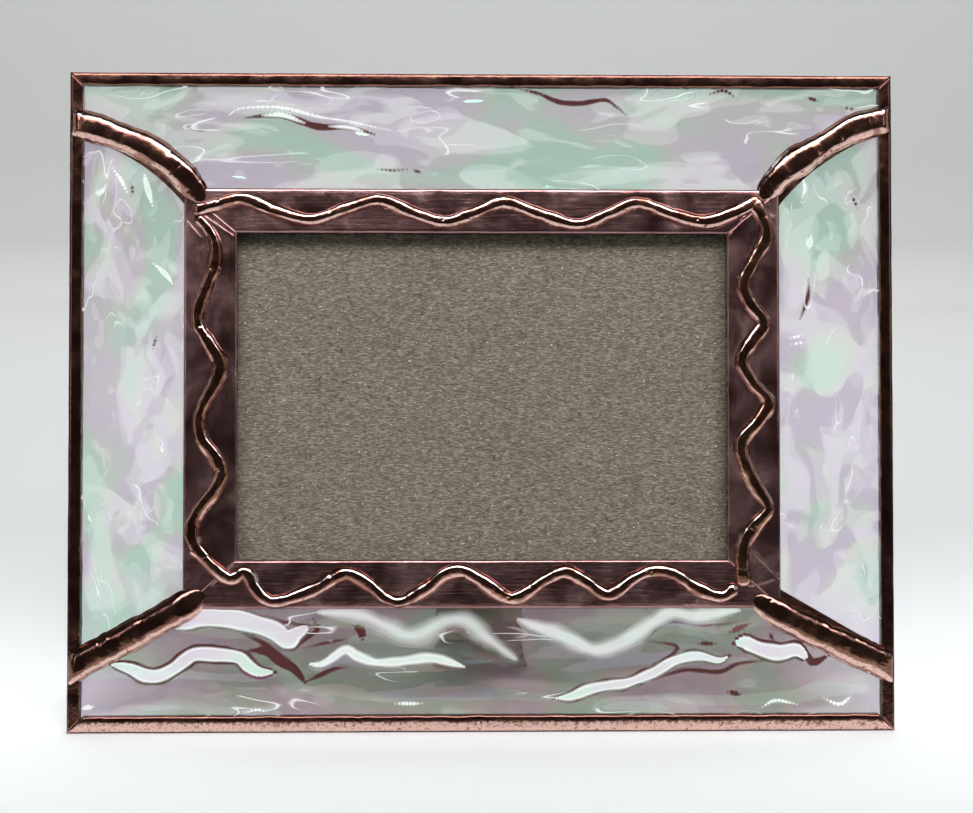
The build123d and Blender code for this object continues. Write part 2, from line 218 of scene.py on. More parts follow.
class Maker:
    """A material under construction: adds nodes and wires values or sockets into them."""

    def __init__(self, name):
        self.material = bpy.data.materials.new(name)
        self.material.use_nodes = True
        self.tree = self.material.node_tree
        self.tree.nodes.clear()
        self.out = self.tree.nodes.new("ShaderNodeOutputMaterial")
        self.coords = self._panel_coords()

    def put(self, socket, value):
        if isinstance(value, bpy.types.NodeSocket):
            self.tree.links.new(value, socket)
        else:
            socket.default_value = value

    def add(self, kind, inputs=(), **settings):
        node = self.tree.nodes.new(kind)
        for key, value in settings.items():
            setattr(node, key, value)
        for key, value in dict(inputs).items():
            self.put(node.inputs[key], value)
        return node

    def _panel_coords(self):
        where = self.add("ShaderNodeTexCoord").outputs["Object"]
        turned = self.add("ShaderNodeMapping", {"Vector": where, "Rotation": (LEAN, 0, 0)})
        return turned.outputs["Vector"]

    def noise(self, size_mm, detail=2.0, stretch=(1, 1, 1), distortion=0.0, roughness=0.5):
        """Noise with features of about size_mm; stretch makes them longer along an axis."""
        scale = [1 / s for s in stretch]
        placed = self.add("ShaderNodeVectorMath", {0: self.coords, 1: scale}, operation="MULTIPLY")
        return self.add("ShaderNodeTexNoise", {
            "Vector": placed.outputs[0], "Scale": 1 / (size_mm * MM), "Detail": detail,
            "Distortion": distortion, "Roughness": roughness}).outputs["Fac"]

    def ramp(self, factor, stops):
        """A colour ramp from (position, colour) pairs."""
        node = self.add("ShaderNodeValToRGB", {"Fac": factor})
        ramp = node.color_ramp
        while len(ramp.elements) < len(stops):
            ramp.elements.new(1.0)
        for element, (position, colour) in zip(ramp.elements, stops):
            element.position = position
            element.color = (*colour, 1)
        return node.outputs["Color"]

    def step(self, factor, low, high, below=BLACK, above=WHITE):
        """One colour up to low, another from high on, and a blend between."""
        return self.ramp(factor, [(low, below), (high, above)])

    def add_up(self, a, b):
        return self.add("ShaderNodeMath", {0: a, 1: b}, operation="ADD").outputs[0]

    def spread(self, factor, low, high, from_low=0.3, from_high=0.7):
        """Maps noise to a range of numbers."""
        return self.add("ShaderNodeMapRange", {
            "Value": factor, "From Min": from_low, "From Max": from_high,
            "To Min": low, "To Max": high}).outputs["Result"]

    def mix(self, factor, a, b, blend="MIX"):
        node = self.add("ShaderNodeMix", data_type="RGBA", blend_type=blend)
        colour = [s for s in node.inputs if s.type == "RGBA"]
        self.put(node.inputs["Factor"], factor)
        self.put(colour[0], (*a, 1) if isinstance(a, tuple) else a)
        self.put(colour[1], (*b, 1) if isinstance(b, tuple) else b)
        return next(s for s in node.outputs if s.type == "RGBA")

    def bump(self, height, depth_mm, strength=1.0):
        return self.add("ShaderNodeBump", {
            "Height": height, "Distance": depth_mm * MM, "Strength": strength}).outputs["Normal"]

    def finish(self, **values):
        """Closes the tree with one Principled shader."""
        inputs = {key.replace("_", " "): value for key, value in values.items()}
        if isinstance(inputs["Base Color"], tuple):
            inputs["Base Color"] = (*inputs["Base Color"], 1)
        shader = self.add("ShaderNodeBsdfPrincipled", inputs)
        self.tree.links.new(shader.outputs[0], self.out.inputs["Surface"])
        return shader

    def let_lamps_through(self, shader, tint):
        """For clear glass: lamps' rays pass as through thin air, so glass casts a light, clean shadow."""
        clear = self.add("ShaderNodeBsdfTransparent", {"Color": (*tint, 1)})
        path = self.add("ShaderNodeLightPath")
        mixed = self.add("ShaderNodeMixShader", {
            0: path.outputs["Is Shadow Ray"], 1: shader.outputs[0], 2: clear.outputs[0]})
        self.tree.links.new(mixed.outputs[0], self.out.inputs["Surface"])


# %% [markdown]
# ### Raised solder with copper patina
#
# The solder is tin and lead, blackened and coppered by a patina. It is a true metal with a smooth skin, so it
# is nearly a mirror: where it faces the lamp it is white, and where it faces the dark room it is maroon. The
# tree also paints light into the colour: the pale table's rosy reflection on the flanks that face the table,
# with small dark chips in it, a painted highlight in patches on the shoulders that face up, and painted shade
# where the skin faces steeply down. The dot product of the skin's normal with a direction tells which way it
# faces.

# %% Raised solder
# Painted reflection of the pale table, laid on the solder's flanks that face down.
TABLE_REFLECTION_PINK = (0.80, 0.52, 0.45)
# Painted highlight, laid in patches on the shoulders that face up.
SHOULDER_HIGHLIGHT = (0.86, 0.76, 0.73)
RUST = (0.25, 0.16, 0.14)
TARNISH = (0.3, 0.2, 0.18)
# Painted shade where the skin faces steeply down.
UNDERSIDE_SHADE = (0.70, 0.84)  # how steeply down the metal faces where it turns dark again
# Where the painted highlight lies, by how far the skin faces up.
HIGHLIGHT_SPAN = [(0.15, BLACK), (0.21, WHITE), (0.50, WHITE), (0.60, BLACK)]  # where the skin faces up


def add_facing(m, direction):
    """How much the skin faces a direction, from -1 to 1."""
    normal = m.add("ShaderNodeTexCoord").outputs["Normal"]
    facing = m.add("ShaderNodeVectorMath", {0: normal, 1: tuple(direction)}, operation="DOT_PRODUCT")
    return facing.outputs["Value"]


def make_solder(name, dark, brown, gloss=(0.08, 0.20), reflection_from=0.16, highlight_share=1.0, reflection_colour=TABLE_REFLECTION_PINK, patchy=True):
    m = Maker(name)
    cloud = m.noise(7, detail=3, distortion=0.8)
    colour = m.ramp(cloud, [(0.32, dark), (0.55, between(dark, brown, 0.4)), (0.70, brown)])
    edge = m.noise(1.1, detail=3)
    facing_down = m.add_up(add_facing(m, -UP), m.spread(edge, -0.07, 0.07))
    # Painted reflection of the table on the flanks that face down, with small dark chips in it.
    reflection_mask = m.spread(facing_down, 0, 1, reflection_from, reflection_from + 0.07)
    if patchy:
        here = m.step(m.noise(8, detail=2), 0.41, 0.46, grey(0.2))
        reflection_mask = m.mix(1.0, here, reflection_mask, blend="MULTIPLY")
    chips = m.step(m.noise(1.5, detail=4, roughness=0.7), 0.36, 0.42, RUST)
    colour = m.mix(reflection_mask, colour, m.mix(1.0, chips, reflection_colour, blend="MULTIPLY"))
    # Painted shade where the skin faces steeply down.
    underside_shade = m.spread(facing_down, 0, 1, *UNDERSIDE_SHADE)
    colour = m.mix(underside_shade, colour, dark)
    # Painted highlight, in patches, on the shoulders that face up.
    facing_up = m.add_up(add_facing(m, UP), m.spread(edge, -0.05, 0.05))
    highlight_span = m.ramp(facing_up, HIGHLIGHT_SPAN)
    highlight_patches = m.step(m.noise(6, detail=2), 0.36, 0.44)
    colour = m.mix(m.mix(1.0, highlight_span, highlight_patches, blend="MULTIPLY"), colour, between(dark, SHOULDER_HIGHLIGHT, highlight_share))
    specks = m.step(m.noise(0.6, detail=3, roughness=0.75), 0.37, 0.44, TARNISH)
    colour = m.mix(0.8, colour, specks, blend="MULTIPLY")
    normal = m.bump(m.mix(0.3, m.noise(2.6, detail=2), m.noise(0.7, detail=3)), 0.10)
    roughness = m.spread(m.noise(5, detail=3), *gloss)
    m.finish(Base_Color=colour, Metallic=1.0, Roughness=roughness, Normal=normal)
    return m.material


solder = make_solder("raised_solder", dark=(0.27, 0.115, 0.10), brown=(0.40, 0.205, 0.13))
low_seam_solder = make_solder("low_seam_solder", dark=(0.22, 0.10, 0.08), brown=(0.34, 0.18, 0.11),
                              highlight_share=0.05, patchy=False)
upright_solder = make_solder("upright_solder", dark=(0.20, 0.085, 0.065), brown=(0.42, 0.23, 0.14),
                             highlight_share=0.5, reflection_from=0.26)
rim_solder = make_solder("rim_solder", dark=(0.15, 0.065, 0.055), brown=(0.24, 0.12, 0.08),
                         gloss=(0.10, 0.22), highlight_share=0.0, reflection_colour=(0.30, 0.15, 0.11))
low_rim_solder = make_solder("low_rim_solder", dark=(0.16, 0.07, 0.06), brown=(0.26, 0.13, 0.09),
                             gloss=(0.12, 0.25), highlight_share=0.0, reflection_from=0.03, patchy=False)
print("solder materials made")

# %% [markdown]
# ### Flat solder on the strips
#
# The strips are taped all over and only wetted with solder, so they are flatter, duller and plum-brown, with
# faint streaks along each strip from the roller that pressed the tape down. The streaks are noise stretched
# many times along the strip: one material for the level strips and one for the upright ones.

# %% Flat solder
PLUM = [(0.28, (0.27, 0.125, 0.12)), (0.5, (0.37, 0.20, 0.20)), (0.75, (0.48, 0.30, 0.29))]
ROLLED = [(0.35, (0.7, 0.66, 0.66)), (0.65, (1.15, 1.12, 1.12))]


def make_flat_solder(name, stretch):
    m = Maker(name)
    cloud = m.noise(14, detail=4, distortion=0.8)
    streaks = m.noise(0.8, detail=3, stretch=stretch)
    colour = m.mix(0.5, m.ramp(cloud, PLUM), m.ramp(streaks, ROLLED), "MULTIPLY")
    normal = m.bump(m.mix(0.5, streaks, m.noise(2.2, detail=3)), 0.10)
    m.finish(Base_Color=colour, Metallic=1.0, Roughness=m.spread(cloud, 0.14, 0.28), Normal=normal)
    return m.material


flat_solder = {"level": make_flat_solder("flat_solder_level", (14, 1, 1)),
               "upright": make_flat_solder("flat_solder_upright", (1, 1, 14))}
# The tape's dark colour is partly its patina and partly painted shade, showing as the dark line beside the
# seams; it also takes the solder's painted reflection and highlight.
foil_copper = make_solder("foil_copper", dark=(0.13, 0.055, 0.045), brown=(0.24, 0.12, 0.085),
                          gloss=(0.16, 0.3), reflection_from=0.35, highlight_share=0.2)
print("flat solder and tape made")

# %% [markdown]
# ### Wavy iridescent glass
#
# The glass is clear. Its colour comes from a metal-oxide film a few hundred nanometres thick, which mirrors
# mint, lilac and a little yellow as its thickness drifts. Principled has that film: Thin Film Thickness takes
# the drift from noise, and the film's IOR is one plain number. A pale tint of the same colours goes in the
# base colour too, so that the patches hold when the light comes from behind. The base colour also carries
# painted light: pale hard-edged islands for the lamps' reflections, thin white lines and glints for
# highlights on the ripples, and a painted shade in the middle of the lowest glass.

# %% Wavy glass
MINT, LILAC, MIST, LEMON = (0.63, 0.79, 0.71), (0.76, 0.69, 0.77), (0.71, 0.73, 0.71), (0.80, 0.80, 0.68)
DRIFT = [(0.32, MINT), (0.42, MINT), (0.48, MIST), (0.56, LILAC), (0.62, LILAC), (0.67, LEMON), (0.74, MINT)]
BAND_TINTS = [(0.42, (0.66, 0.84, 0.75)), (0.5, (0.76, 0.76, 0.78)), (0.60, (0.76, 0.66, 0.78))]
# Painted light in the glass: the first colour for the lamps' reflections, the second for the bright rims of
# the painted white bands, the third for the dark image of the tape along them.
LAMP_REFLECTION_TINT, BAND_EDGE_HIGHLIGHT, MAROON_EDGE = (0.96, 1.0, 0.98), (0.96, 1.0, 0.98), (0.085, 0.026, 0.028)
SHADE = (0.53, 0.455, 0.44)  # how much darker the middle of the lowest glass is
SHADE_ENDS = (0.088, 0.116)  # metres from the middle, where that shade ends
# Painted highlight: a thin white line along the ripples.
RIDGE_HIGHLIGHT = [(0.592, BLACK), (0.600, WHITE), (0.612, BLACK)]  # a thin line along one height of the noise
FILM_NM = (295, 395)


def stored(m, name):
    """A slope stored on the mesh's points."""
    return m.add("ShaderNodeAttribute", attribute_name=name).outputs["Fac"]


def field(m, name):
    """A mask from a stored slope: 0 below 0, 1 above 1."""
    return m.spread(stored(m, name), 0, 1, 0, 1)


def lamp_reflections(m, size_mm, stretch, level, shift=0.0):
    """Painted reflections of the lamps: hard-edged smooth shapes, white where slow noise is over a level."""
    moved = m.add("ShaderNodeVectorMath", {0: m.coords, 1: grey(shift)}, operation="ADD").outputs[0]
    flat = tuple(1 / k for k in stretch)
    placed = m.add("ShaderNodeVectorMath", {0: moved, 1: flat}, operation="MULTIPLY")
    slow = m.add("ShaderNodeTexNoise", {"Vector": placed.outputs[0], "Scale": 1 / (size_mm * MM),
                                        "Detail": 0.6, "Distortion": 0.9}).outputs["Fac"]
    return m.step(slow, level, level + 0.008)


def longer(stretch, times):
    """The same stretch direction, with more of it."""
    return tuple(1 + times * (k - 1) for k in stretch)


def make_wavy_glass(name, stretch, light_level, line_share, shaded=False):
    m = Maker(name)
    drift = m.noise(26, detail=1.5, stretch=stretch, distortion=0.8)
    tints = m.ramp(drift, DRIFT)
    # Painted reflections of the lamps: pale hard-edged islands, dimmer in the shaded lowest glass.
    light = lamp_reflections(m, 13, longer(stretch, 1.6), light_level)
    more_light = lamp_reflections(m, 6.5, longer(stretch, 1.6), light_level + 0.07, shift=0.4)
    light = m.mix(1.0, light, more_light, blend="LIGHTEN")
    pale = m.mix(0.38, tints, LAMP_REFLECTION_TINT)
    if shaded:
        across = m.add("ShaderNodeSeparateXYZ", {0: m.coords}).outputs["X"]
        away = m.add("ShaderNodeMath", {0: across}, operation="ABSOLUTE").outputs[0]
        shade = m.mix(m.spread(away, 0, 0.75, *SHADE_ENDS), SHADE, grey(0.95))
        tints = m.mix(1.0, tints, shade, blend="MULTIPLY")
        light = m.mix(0.22, BLACK, light)
    tints = m.mix(light, tints, pale)
    # Painted highlights: thin white lines along the ripples, shown in some places.
    ridges = m.noise(8, detail=1.0, stretch=longer(stretch, 3), distortion=0.5)
    some = m.step(m.noise(13, detail=0, stretch=stretch), 0.5 + line_share, 0.54 + line_share)
    lines = m.mix(1.0, m.ramp(ridges, RIDGE_HIGHLIGHT), some, blend="MULTIPLY")
    # The stored masks paint light: white bands and glints with brighter rims, the dark maroon band edges as
    # the painted image of the tape seen through the waves, and dark streaks.
    dark, white = field(m, "dark_edge"), field(m, "white_band")
    tints = m.mix(dark, tints, MAROON_EDGE)
    bright = m.mix(1.0, lines, white, blend="LIGHTEN")
    near_edge = m.spread(stored(m, "white_band"), 0.75, 0, 1.1, 2.0)
    band_light = m.mix(near_edge, m.ramp(drift, BAND_TINTS), BAND_EDGE_HIGHLIGHT)
    tints = m.mix(bright, tints, band_light)
    marks = m.mix(1.0, bright, dark, blend="LIGHTEN")
    clear = m.mix(marks, m.mix(light, grey(0.88), grey(0.74)), grey(0.10))
    film = m.spread(drift, *FILM_NM, 0.40, 0.54)
    shader = m.finish(Base_Color=tints, Roughness=0.02, IOR=1.52, Transmission_Weight=clear,
                      Thin_Film_Thickness=film, Thin_Film_IOR=1.7)
    m.let_lamps_through(shader, (0.88, 0.90, 0.89))
    return m.material


wavy_glass = {"top": make_wavy_glass("wavy_glass_level", (2.1, 1, 1), 0.56, 0.02),
              "bottom": make_wavy_glass("wavy_glass_low", (2.1, 1, 1), 0.60, 0.10, shaded=True)}
wavy_glass["left"] = wavy_glass["right"] = make_wavy_glass("wavy_glass_upright", (1, 1, 1.35), 0.54, 0.08)

# %% [markdown]
# ### Plain glass, greyboard and brass
#
# The window's pane is plain clear glass. The greyboard behind it is pressed from waste paper: grey-brown,
# with short fibres lying mostly level, pale flecks and a few dark specks. The hinge and the leg are brass,
# darkened by the same patina as the solder.

# %% Pane, board and brass
def make_clear_glass(name, colour):
    m = Maker(name)
    shader = m.finish(Base_Color=colour, Roughness=0.0, IOR=1.5, Transmission_Weight=1.0)
    m.let_lamps_through(shader, (0.96, 0.97, 0.96))
    return m.material


FIBRES = [(0.34, (0.048, 0.039, 0.028)), (0.5, (0.112, 0.093, 0.069)), (0.66, (0.235, 0.203, 0.162))]


def make_greyboard():
    m = Maker("greyboard")
    fibres = m.noise(0.26, detail=3, stretch=(5, 1, 1), distortion=0.3, roughness=0.6)
    cloud = m.ramp(m.noise(16, detail=4), [(0.3, grey(0.8)), (0.7, (1.15, 1.13, 1.1))])
    base = m.mix(0.35, m.ramp(fibres, FIBRES), cloud, "MULTIPLY")
    flecks = m.step(m.noise(0.6, detail=2, stretch=(1.8, 1, 1)), 0.68, 0.72)
    base = m.mix(flecks, base, (0.50, 0.47, 0.42))
    specks = m.step(m.noise(2.2, detail=1), 0.225, 0.255, WHITE, BLACK)
    base = m.mix(specks, base, (0.05, 0.045, 0.04))
    normal = m.bump(m.mix(0.5, fibres, m.noise(0.5, detail=4)), 0.10, strength=0.7)
    m.finish(Base_Color=base, Roughness=0.92, Normal=normal)
    return m.material


def make_brass(name, dark, light, streak):
    m = Maker(name)
    brushed = m.noise(0.5, detail=3, stretch=streak)
    cloud = m.noise(26, detail=5, distortion=0.3)
    colour = m.mix(0.5, m.step(cloud, 0.3, 0.7, dark, light),
                   m.step(brushed, 0.3, 0.7, grey(0.6), grey(1.15)), "MULTIPLY")
    m.finish(Base_Color=colour, Metallic=1.0, Roughness=m.spread(brushed, 0.24, 0.45),
             Normal=m.bump(brushed, 0.03))
    return m.material


PATINA = ((0.30, 0.17, 0.10), (0.44, 0.27, 0.17))
pane_glass = make_clear_glass("pane_glass", (0.985, 0.995, 0.99))
core_glass = make_clear_glass("strip_glass", (0.9, 0.95, 0.92))
greyboard = make_greyboard()
dark_brass = make_brass("patina_brass", *PATINA, (1, 1, 20))
level_brass = make_brass("patina_brass_level", *PATINA, (20, 1, 1))
pin_brass = make_brass("pin_brass", (0.55, 0.38, 0.16), (0.80, 0.60, 0.30), (10, 1, 1))
print("all materials:", len(bpy.data.materials))

# %% A smooth line through chosen points
def smooth_line(turns, step):
    """A smooth curve through the points, as points one step apart."""
    knots = np.array(turns, float)
    padded = np.vstack([2 * knots[0] - knots[1], knots, 2 * knots[-1] - knots[-2]])
    pieces = []
    for p0, p1, p2, p3 in zip(padded, padded[1:], padded[2:], padded[3:]):
        t = np.linspace(0, 1, 40, endpoint=False)[:, None]
        pieces.append(0.5 * (2 * p1 + (p2 - p0) * t + (2 * p0 - 5 * p1 + 4 * p2 - p3) * t**2
                             + (3 * p1 - p0 - 3 * p2 + p3) * t**3))
    fine = np.vstack([*pieces, knots[-1:]])
    travelled = np.concatenate([[0], np.cumsum(np.linalg.norm(np.diff(fine, axis=0), axis=1))])
    stops = np.linspace(0, travelled[-1], max(4, int(travelled[-1] / step)))
    return np.stack([np.interp(stops, travelled, fine[:, i]) for i in (0, 1)], 1), stops


# %% [markdown]
# ## The four wavy glasses
#
# Rolled wavy glass has a true relief, up to half a millimetre deep, and that relief is what bends the light,
# so it has to be in the mesh and not in a bump map. Each glass is a grid of points half a millimetre apart
# that fills the CAD piece's outline, with a coarser grid for the back and a wall round the edge. The waves
# run level in the top and bottom glasses and upright in the side ones, and fade out towards the tape.

# %% Outline of a CAD glass
def front_edges(node):
    """Ends (x, z) of every mesh edge in the glass's front face."""
    points = panel_points(node)
    pairs = np.array([e.vertices[:] for e in nodes[node].data.edges])
    front = points[:, 1] < GLASS_T / 2
    pairs = pairs[front[pairs].all(1)]
    return points[pairs][:, :, [0, 2]]


def span(edges, axis, at):
    """Lowest and highest place where the line (coordinate axis = at) crosses the outline."""
    a, b = edges[:, 0], edges[:, 1]
    low, high = np.minimum(a[:, axis], b[:, axis]), np.maximum(a[:, axis], b[:, axis])
    hit = (low <= at) & (at <= high) & (high > low)
    share = (at - a[hit, axis]) / (b[hit, axis] - a[hit, axis])
    other = 1 - axis
    places = a[hit, other] + share * (b[hit, other] - a[hit, other])
    return places.min(), places.max()


# %% Waves
WAVES = {  # depth in mm, then length and width of a wave in mm
    "top": dict(depth=0.52, length=34, width=9.5, seed=11),
    "bottom": dict(depth=0.85, length=36, width=10.5, seed=23),
    "left": dict(depth=0.55, length=26, width=11, seed=37),
    "right": dict(depth=0.55, length=26, width=11, seed=41),
}
BACK_DEPTH = {"top": 0.2, "bottom": 0.75, "left": 0.2, "right": 0.2}
TAPE_LAP = 3.2
STEEP = 5.0  # how far a stored slope may run past its edge
SOFT = 0.3  # bands softer than this glow and have no bright edge
STEP = {"top": (0.45, 0.6), "bottom": (0.45, 0.5),  # across, along
        "left": (0.45, 0.6), "right": (0.45, 0.6)}


def wave_relief(along, across, depth, length, width, seed):
    """Height of the rolled surface: long lazy waves, bent by slower noise, with finer ones on top."""
    bent_along = along + 7 * wander(along / 26, across / 26, seed + 1)
    bent_across = across + 4.5 * wander(along / 30, across / 16, seed + 2)
    relief = wander(bent_along / length, bent_across / width, seed + 3)
    relief = relief + 0.26 * wander(bent_along / (length / 2), bent_across / (width / 2.1), seed + 4)
    relief = relief + 0.05 * wander(bent_along / (length / 4), bent_across / (width / 4), seed + 5)
    return depth * relief


# %% [markdown]
# The lowest glass has the steepest waves. They throw the light of the table forward in white bands, and along
# the bands the dark tape shows through at a slant. Each band is a line, a half width, and how sharp its dark
# edges are. The bands are raised a little in the relief, and their masks are stored on the mesh's points,
# where the material paints them: painted light in the bands, and a painted dark image of the tape along their
# edges.

# %% Bands and streaks
BANDS = [  # line in mm, half width, dark edge, softness
    ([(-111, 20.4), (-104.6, 18.9), (-99.7, 17), (-96, 16.9), (-91.8, 18.8), (-88.4, 21.4),
      (-85.5, 23.1), (-79, 23), (-73, 22.2), (-70, 19.7), (-66.5, 18), (-61.8, 17.8)], 1.7, 1, 0.12),
    ([(-94, 31.2), (-86, 33.5), (-77, 33.9), (-69, 32.6), (-62, 29.9), (-58.2, 27.4), (-55.6, 29.2),
      (-51.5, 31.4)], 2.35, 0.9, 0.1),
    ([(-52.4, 20.2), (-47.6, 20.3), (-41.2, 24.3), (-37.6, 22.6), (-32.3, 20.7), (-25.2, 20.8),
      (-16.4, 21.9), (-10.5, 20.8), (-4.6, 18.9)], 1.45, 0.45, 0.25),
    ([(-50, 35.6), (-37, 34.6), (-29.4, 31.7), (-23.5, 28.9), (-18.7, 29.2), (-10.5, 32.9),
      (-4.6, 32.6), (1.3, 27.9), (6.1, 24.1), (10.8, 20.9)], 2.8, 0.15, 0.5),
    ([(9.8, 33.6), (19, 30), (26.7, 27.2), (33.2, 24.3), (39.9, 25.9), (46.2, 29.2), (51.3, 32.4),
      (56.5, 35.2), (63.3, 34.1), (71.9, 35.3), (78, 36)], 2.5, 0.4, 0.42),
    ([(21, 9.6), (26, 10.2), (31.5, 12.2), (38, 13.6), (43.3, 14.4), (50.8, 17.3), (57.6, 21),
      (64.5, 22.2), (70.6, 20.9), (73.8, 22.3)], 1.3, 0.9, 0.15),
    ([(75.2, 25.9), (78.6, 26.2), (83.3, 24.2), (89, 23.2), (94, 24), (97.4, 21)], 1.9, 1, 0.12),
]
MAROON = {  # dark streaks: line in mm and half width
    "bottom": [
        ([(-69.3, 24.3), (-64.5, 23.9), (-59.7, 20.7), (-56.5, 19.1), (-52.9, 14.8)], 1.5),
        ([(-72, 29.4), (-66.5, 27), (-62, 24), (-57.5, 21.4)], 0.7),
        ([(-52.9, 14.8), (-48.5, 16.8), (-44.5, 18.6), (-40.5, 19.1)], 0.65),
        ([(-38.6, 31.6), (-36.6, 30.2), (-35.8, 27.4)], 1.4),
        ([(-52.5, 25.1), (-46, 26.6), (-40.5, 27.5)], 0.5),
        ([(-64.5, 34.6), (-59, 32.8), (-50.9, 31.4), (-48.5, 31.8)], 0.5),
        ([(-50.9, 34.6), (-49.3, 30.6), (-51.4, 28.6), (-56.5, 24.7)], 0.6),
        ([(50.1, 28.3), (53.4, 31.2), (58.1, 32.6), (66.9, 31.4), (75.7, 32.2)], 0.42),
        ([(50.1, 26.7), (58.1, 25.1), (54.9, 21.5), (50.9, 19.9)], 0.5),
        ([(64.5, 26), (69.7, 25.9)], 0.65),
        ([(74.1, 29.4), (80, 31.8)], 0.8),
        ([(73.3, 11.6), (76.9, 10.7)], 0.8),
        ([(86.1, 28.7), (86.9, 27.1)], 0.5),
        ([(96.5, 24.3), (98.9, 20.3), (103.7, 22.3)], 1),
        ([(50.9, 15.2), (60.4, 18), (70.9, 17.5), (76.5, 19.9), (84.5, 20.7)], 0.6),
    ],
    "top": [
        ([(-71, 183.4), (-66, 184), (-60, 184.1), (-55, 182.6), (-51.4, 181.3), (-47.5, 180.6),
          (-43, 180.8), (-38, 180.2), (-32.6, 178.6)], 0.95),
        ([(10.3, 192.7), (16.9, 191.1), (22.7, 188.7), (29.3, 188.2), (36.7, 189.3), (40, 187.4),
          (43, 185)], 0.75),
        ([(68.6, 191.2), (72.8, 192.2), (76.6, 190)], 0.5),
        ([(97.8, 190.3), (101.4, 189.3)], 0.55),
        ([(108.5, 187.4), (113, 186.6)], 0.4),
        ([(-88.4, 180.6), (-83.2, 179.3)], 0.5),
        ([(-31.5, 168.2), (-27, 167.8), (-22.8, 168.1)], 0.35),
        ([(-20.8, 167.9), (-18.6, 167.2)], 0.4),
    ],
    "left": [
        ([(-105.4, 163.4), (-104.6, 161.7), (-105.1, 159.8)], 0.35),
        ([(-97.4, 117.6), (-98.6, 114)], 0.35),
    ],
    "right": [
        ([(111.4, 160.6), (113.2, 156.8)], 0.5),
        ([(98.2, 135.2), (98.2, 131.7), (97.4, 127.9), (95.6, 123.2)], 0.5),
    ],
}
# The glints are painted highlights: white streaks laid into the glass's colour.
GLINTS = {  # white streaks: line in mm and half width
    "bottom": [
        ([(83.7, 6.9), (87.7, 8.9), (94.1, 7.7)], 0.4),
        ([(102.1, 9.6), (106.9, 7.7), (110.5, 10.1)], 0.5),
        ([(-118.8, 7.2), (-115.7, 7.8)], 0.7),
        ([(-70.9, 5.7), (-67.3, 6.7), (-64.1, 6.1)], 0.35),
        ([(-26.1, 8.3), (-18.1, 8.3)], 0.45),
        ([(-90, 21.4), (-80, 23.4), (-76, 22.8)], 0.3),
    ],
    "top": [
        ([(-66, 184.2), (-60, 184.3), (-53.6, 182)], 0.62),
        ([(-46, 181), (-40.4, 180.7), (-36, 179.6)], 0.45),
        ([(-76, 184.3), (-72, 186.4), (-60, 186.5), (-50, 184), (-40, 182.4), (-28, 179.9)], 0.34),
    ],
    "left": [
        ([(-110.8, 168.2), (-108.2, 164.6), (-106.4, 161)], 0.5),
        ([(-101.2, 166), (-100.2, 162), (-98.8, 157)], 0.8),
        ([(-98.4, 139.6), (-94.8, 136.4), (-92.8, 133.6)], 0.7),
    ],
    "right": [
        ([(96.4, 166), (97.2, 163), (96.6, 160)], 0.45),
        ([(99, 148.4), (98.2, 144.4)], 0.9),
        ([(92.6, 117.4), (96.4, 118.4)], 0.35),
        ([(93, 115.6), (97.2, 116.4)], 0.35),
    ],
}


def line_distance(x, z, line):
    """Distance to a smooth line, and how far along it the nearest place is, from 0 to 1."""
    path, _ = smooth_line(line, 1.0)
    best, where = np.full(x.shape, 1e9), np.zeros(x.shape)
    for k, (px, pz) in enumerate(path):
        apart = np.hypot(x - px, z - pz)
        closer = apart < best
        best[closer], where[closer] = apart[closer], k / (len(path) - 1)
    return best, where


def band_fields(x, z):
    """White bands of painted light, their painted dark edges, and the relief that they add.

    The first two are slopes that cross 0 and 1 at a mask's edge, so the edge stays sharp between points.
    """
    white, dark, lift = np.full_like(x, -STEEP), np.full_like(x, -STEEP), np.zeros_like(x)
    for number, (line, half, edge, soft) in enumerate(BANDS):
        away, where = line_distance(x, z, line)
        taper = np.clip(np.minimum(where, 1 - where) / 0.16, 0, 1) ** 0.6
        width = 1.25 * half * taper * (1 + (0.30 + 0.5 * soft) * wander(x / 7, z / 7, 900 + number)) + 0.05
        inside, outside = 1 - away / width, away - width
        gate = edge * smooth_step(-0.35, -0.1, wander(x / 9, z / 6, 960 + number) + 0.3)
        white = np.maximum(white, np.minimum(inside / (2 * soft), STEEP if soft < SOFT else 0.8))
        reach = 0.55 + 0.45 * wander(x / 5, z / 5, 930 + number)
        line_edge = np.minimum((reach + 0.3 - outside) / 0.35, (outside + 0.4) / 0.4)
        dark = np.maximum(dark, line_edge - STEEP * (1 - gate))
        lift += 0.22 * smooth_step(-0.3, 0.6, inside)
    return white, dark, lift


def streaks(x, z, lines, seed):
    """Short streaks that taper at both ends, as the same kind of slope."""
    slope = np.full_like(x, -STEEP)
    for line, half in lines:
        away, where = line_distance(x, z, line)
        uneven = 1 + 0.4 * wander(x / 4, z / 4, seed)
        width = half * (0.25 + 0.75 * np.sin(math.pi * where)) * uneven + 0.2
        slope = np.maximum(slope, (width - away) / 0.45 + 0.5)
    return slope


